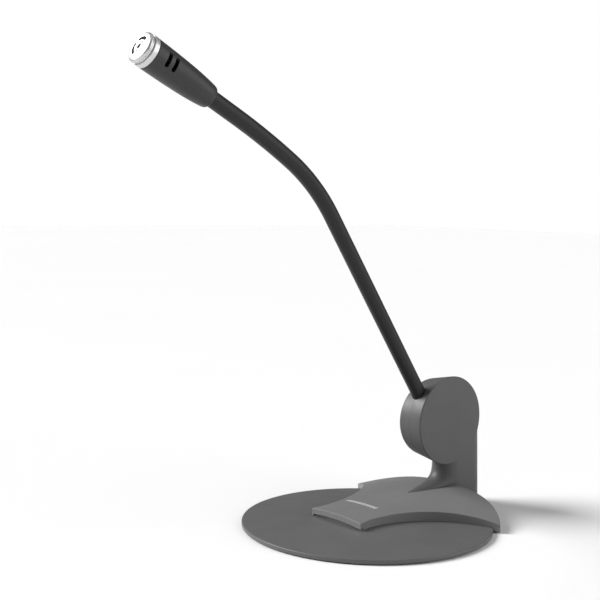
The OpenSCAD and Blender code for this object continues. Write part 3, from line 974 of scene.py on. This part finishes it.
class MICSTAND_OT_head(bpy.types.Operator):
    """Head body: slim tapered tube with two vents each side"""

    bl_idname = "micstand.head"
    bl_label = "Head"

    def execute(self, context):
        wall = 1 * MM
        tail = arc_points((TAIL_R - 0.9 * MM, 1.0 * MM), 0.95 * MM, -80, -8, 7)
        side = [(self.radius(a), a) for a in [(1.6 + 30.2 * i / 24) * MM for i in range(25)]]
        front = arc_points((HEAD_R - 0.3 * MM, HEAD_LEN - 0.25 * MM), 0.25 * MM, 0, 90, 4)
        inner = [(HEAD_R - wall, HEAD_LEN), (HEAD_R - wall - 0.2 * MM, 21 * MM),
                 (HEAD_R - wall - 0.8 * MM, 12 * MM), (4.3 * MM, 9.5 * MM),
                 (NECK_R + 0.06 * MM, 9.5 * MM), (NECK_R + 0.06 * MM, 0.1 * MM)]
        body = turned("head_shell", tail + side + front + inner, 96, closed=True)
        for at in SLOTS_AT:
            for turn in (0, math.pi):
                vent = slot_cutter("vent_cutter", VENT_LEN, VENT_W,
                                   lambda along, across, depth: self.round_head(
                                       turn + along / HEAD_R, at + across, depth))
                combine(body, vent, "DIFFERENCE")
        settle(body, neck_matrix(HEAD_AT))
        smooth(body, 38)
        dress(body, "head_plastic", "head", ["head_body"])
        return {"FINISHED"}

    @staticmethod
    def round_head(turn, height, depth):
        """A point at a height on a cylinder inside (depth 0) or outside (depth 1) the head's wall."""
        radius = (4.6 + 3.4 * depth) * MM
        return Vector((radius * math.cos(turn), radius * math.sin(turn), height))

    @staticmethod
    def radius(a):
        return TAIL_R + 2.12 * MM * (1 - math.exp(-a / (13 * MM)))


class MICSTAND_OT_cap(bpy.types.Operator):
    """Silver ring and front cap with its centre hole and two curved slots, over dark foam that also
    fills the cap's hollow as painted shade
    """

    bl_idname = "micstand.cap"
    bl_label = "Cap"

    def execute(self, context):
        self.ring()
        low, top = CAP_LOW, CAP_TOP
        edge = arc_points((CAP_R - CAP_EDGE, top - CAP_EDGE), CAP_EDGE, 0, 90, 10)
        skirt = [(CAP_R - 1 * MM, low), (CAP_R - 0.45 * MM, low),
                 (CAP_R - 0.4 * MM, low + 0.7 * MM), (CAP_R - 0.1 * MM, low + 0.95 * MM),
                 (CAP_R, low + 1.1 * MM)]
        face = [(4.9 * MM, top + 0.05 * MM), (2.5 * MM, top + 0.1 * MM), (2.25 * MM, top + 0.02 * MM)]
        boss = arc_points((1.75 * MM, top + 0.03 * MM), 0.27 * MM, 20, 90, 4)
        hole = arc_points((1.25 * MM, top + 0.05 * MM), 0.25 * MM, 90, 180, 4)
        inside = [(1 * MM, top - CAP_FACE_T), (CAP_R - 2 * MM, top - CAP_FACE_T),
                  (CAP_R - 1 * MM, top - 1.1 * MM)]
        cap = turned("cap_face", skirt + edge + face + boss + hole + inside, 96, closed=True)
        for start, end in CAP_SLOT_TURNS:
            middle, sweep = math.radians((start + end) / 2), math.radians(end - start)
            slot = slot_cutter("cap_slot_cutter", CAP_SLOT_R * sweep, CAP_SLOT_W,
                               lambda along, across, depth: self.round_cap(
                                   middle + along / CAP_SLOT_R, CAP_SLOT_R + across,
                                   top + (3 * depth - 2) * MM))
            combine(cap, slot, "DIFFERENCE")
        settle(cap, neck_matrix(HEAD_AT))
        smooth(cap, 35)
        dress(cap, "cap_silver", "head", ["front_cap"])
        # the plug's black is the real dust foam and also painted shade filling the cap's hollow
        self.foam_and_shade_plug(low + 0.1 * MM, top - CAP_FACE_T - 0.06 * MM)
        return {"FINISHED"}

    @staticmethod
    def foam_and_shade_plug(low, high):
        """Dark foam that fills the cap: the real dust foam behind the face, and black put in the cap's
        hollow as painted shade, so that its holes look black from the side too.
        """
        radius, lip = CAP_R - 2.1 * MM, 0.4 * MM
        outline = [(0, low), (radius - lip, low), (radius, low + lip), (radius, high), (0, high)]
        plug = turned("foam_and_shade_plug", outline, 64)
        settle(plug, neck_matrix(HEAD_AT))
        smooth(plug, 40)
        dress(plug, "dust_foam", "head", ["dust_disc"])

    @staticmethod
    def round_cap(turn, radius, height):
        return Vector((radius * math.cos(turn), radius * math.sin(turn), height))

    @staticmethod
    def ring():
        low, high = RING_LOW, RING_HIGH
        rounding = 0.3 * MM
        foot = arc_points((HEAD_R - 0.2 * MM, low + 0.2 * MM), 0.2 * MM, -90, 0, 3)
        lip = arc_points((HEAD_R - rounding, high - rounding), rounding, 0, 90, 5)
        outline = [(HEAD_R - 1.1 * MM, low), *foot, *lip, (HEAD_R - 1.1 * MM, high)]
        ring = turned("cap_band", outline, 96, closed=True)
        settle(ring, neck_matrix(HEAD_AT))
        smooth(ring, 35)
        dress(ring, "cap_silver", "head", ["cap_ring"])


class MICSTAND_OT_frame_finishes(bpy.types.Operator):
    """Puts each finish on the frame's own nodes that stay"""

    bl_idname = "micstand.frame_finishes"
    bl_label = "Frame finishes"

    groups = {
        "cover_plastic": ["bottom_cover"], "pad_foam": ["foot_pad"],
        "ballast_steel": ["ballast_plate"], "screw_steel": ["saddle_screws", "foot_screws"],
        "clamp_metal": ["neck_clamp", "head_ferrule"],
        "lead_pvc": ["inner_lead", "capsule_boot"] + [f"lead_{i}" for i in range(7)],
        "core_steel": [f"core_{i}" for i in range(7)],
        "capsule_metal": ["capsule"], "pin_brass": ["capsule_pins"],
    }

    def execute(self, context):
        for slot, names in self.groups.items():
            for name in names:
                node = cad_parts[name]
                node.data.materials.clear()
                node.data.materials.append(finish(slot))
        return {"FINISHED"}


class MICSTAND_OT_stage(bpy.types.Operator):
    """Pale floor, soft lights and the camera"""

    bl_idname = "micstand.stage"
    bl_label = "Stage"

    def execute(self, context):
        clear_selection()
        bpy.ops.mesh.primitive_plane_add(size=8)
        floor = name_new("studio_floor")
        floor.data.materials.append(self.paper())
        for settings in LIGHTS:
            self.light(*settings)
        world = bpy.data.worlds.new("studio")
        bpy.context.scene.world = world
        world.use_nodes = True
        nodes, links = world.node_tree.nodes, world.node_tree.links
        sky = nodes["Background"]
        sky.inputs["Color"].default_value = (1, 1, 1, 1)
        sky.inputs["Strength"].default_value = SKY_STRENGTH
        backdrop = nodes.new("ShaderNodeBackground")
        backdrop.inputs["Color"].default_value = (1, 1, 1, 1)
        seen = nodes.new("ShaderNodeLightPath").outputs["Is Camera Ray"]
        mix = nodes.new("ShaderNodeMixShader")
        links.new(seen, mix.inputs["Fac"])
        links.new(sky.outputs[0], mix.inputs[1])
        links.new(backdrop.outputs[0], mix.inputs[2])
        links.new(mix.outputs[0], nodes["World Output"].inputs["Surface"])
        bpy.context.scene.view_settings.view_transform = "Standard"
        clear_selection()
        bpy.ops.object.camera_add(
            location=CAMERA_PLACE, rotation=[math.radians(angle) for angle in CAMERA_TURN])
        camera = name_new("studio_camera")
        camera.data.lens = CAMERA_LENS
        camera.data.sensor_width = 36
        camera.data.clip_start = 0.01
        bpy.context.scene.camera = camera
        return {"FINISHED"}

    @staticmethod
    def light(name, place, spread_angle, power):
        """A broad, far light that shines from place towards the middle of the base."""
        clear_selection()
        bpy.ops.object.light_add(type="SUN", location=place)
        light = name_new(name)
        light.data.angle = math.radians(spread_angle)
        light.data.energy = power
        light.rotation_euler = (-Vector(place)).to_track_quat("-Z", "Y").to_euler()

    @staticmethod
    def paper():
        material, nodes, links = finish_nodes("studio_paper")
        shader = nodes["Principled BSDF"]
        place = nodes.new("ShaderNodeTexCoord").outputs["Object"]
        pale = colours().floor
        weave = spread(nodes, links, noise(nodes, links, place, 3, 2), 0, 1)
        links.new(blend_colours(nodes, links, weave, tint(pale, 0.99), pale),
                  shader.inputs["Base Color"])
        shader.inputs["Roughness"].default_value = 0.9
        return material


OPERATORS = (
    MICSTAND_OT_base, MICSTAND_OT_saddle, MICSTAND_OT_mark, MICSTAND_OT_column,
    MICSTAND_OT_screws, MICSTAND_OT_grommet, MICSTAND_OT_neck, MICSTAND_OT_head,
    MICSTAND_OT_cap, MICSTAND_OT_frame_finishes, MICSTAND_OT_stage,
)


class MICSTAND_PT_panel(bpy.types.Panel):
    """Lists the stand's pieces and settings"""

    bl_idname = "MICSTAND_PT_panel"
    bl_label = "Desktop microphone stand"
    bl_space_type = "VIEW_3D"
    bl_region_type = "UI"
    bl_category = "Mic stand"

    def draw(self, context):
        for operator in OPERATORS:
            self.layout.operator(operator.bl_idname)
        for group in (context.scene.mic_stand_sizes, context.scene.mic_stand_colours):
            for name in group.__annotations__:
                self.layout.prop(group, name)


CLASSES = (StandSizes, StandColours, *OPERATORS, MICSTAND_PT_panel)


def register():
    for item in CLASSES:
        bpy.utils.register_class(item)
    bpy.types.Scene.mic_stand_sizes = bpy.props.PointerProperty(type=StandSizes)
    bpy.types.Scene.mic_stand_colours = bpy.props.PointerProperty(type=StandColours)


def unregister():
    del bpy.types.Scene.mic_stand_colours
    del bpy.types.Scene.mic_stand_sizes
    for item in reversed(CLASSES):
        bpy.utils.unregister_class(item)


def main():
    register()
    make_finishes()
    for operator in OPERATORS:
        group, name = operator.bl_idname.split(".")
        getattr(getattr(bpy.ops, group), name)()


if __name__ == "__main__":
    main()
